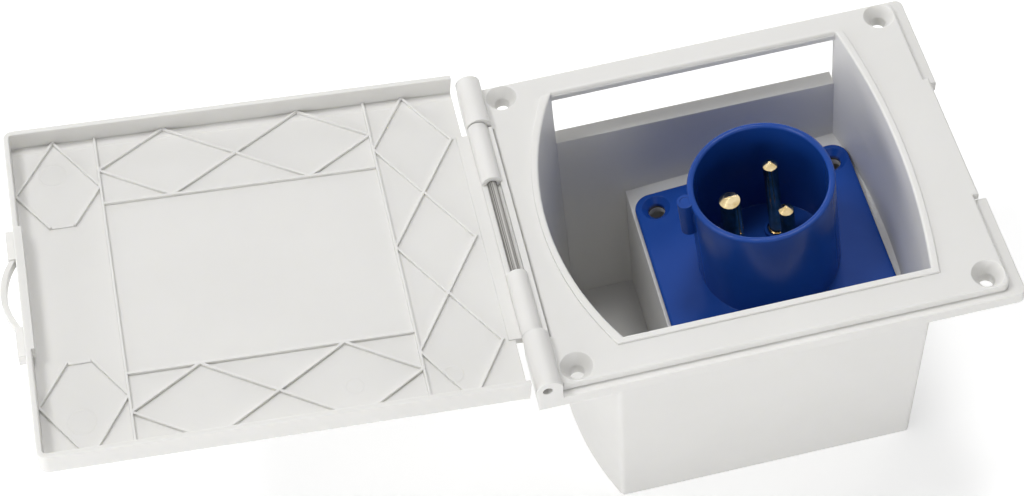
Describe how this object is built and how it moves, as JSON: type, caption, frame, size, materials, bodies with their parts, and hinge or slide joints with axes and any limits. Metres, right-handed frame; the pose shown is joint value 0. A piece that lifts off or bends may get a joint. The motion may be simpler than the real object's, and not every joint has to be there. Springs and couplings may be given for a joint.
{
  "type": "flush power inlet",
  "caption": "Flush-mounted power inlet: a deep moulded wall box with a ribbed hinged lid and bow latch, and a round shrouded inlet with contact pins on a sloped shelf.",
  "frame": {"origin": "centre of the panel screws, on the flange's back face", "axes": "+Z out of the panel towards the user, +X from the hinge to the latch, +Y to the window side"},
  "size_m": [0.3106, 0.1268, 0.1348],
  "materials": {
    "white_plastic": "satin moulded",
    "blue_plastic": "satin moulded",
    "dark_plastic": "matt moulded",
    "steel": "drawn",
    "brass": "turned",
    "rubber": "matt"
  },
  "bodies": {
    "frame": {"wall_box": "white_plastic", "hinge_pin": "steel", "inlet_housing": "blue_plastic", "inlet_gasket": "rubber", "pin_carrier": "dark_plastic", "earth_pin": "brass", "line_pin": "brass", "neutral_pin": "brass", "terminal_screws": "steel", "carrier_screws": "steel"},
    "lid": {"lid": "white_plastic"}
  },
  "joints": [
    {"name": "lid_hinge", "type": "hinge", "parent": "frame", "child": "lid", "pos_m": [-0.0765, 0, 0.0097], "axis": [0, 1, 0], "range_deg": [0, 172.63]}
  ]
}
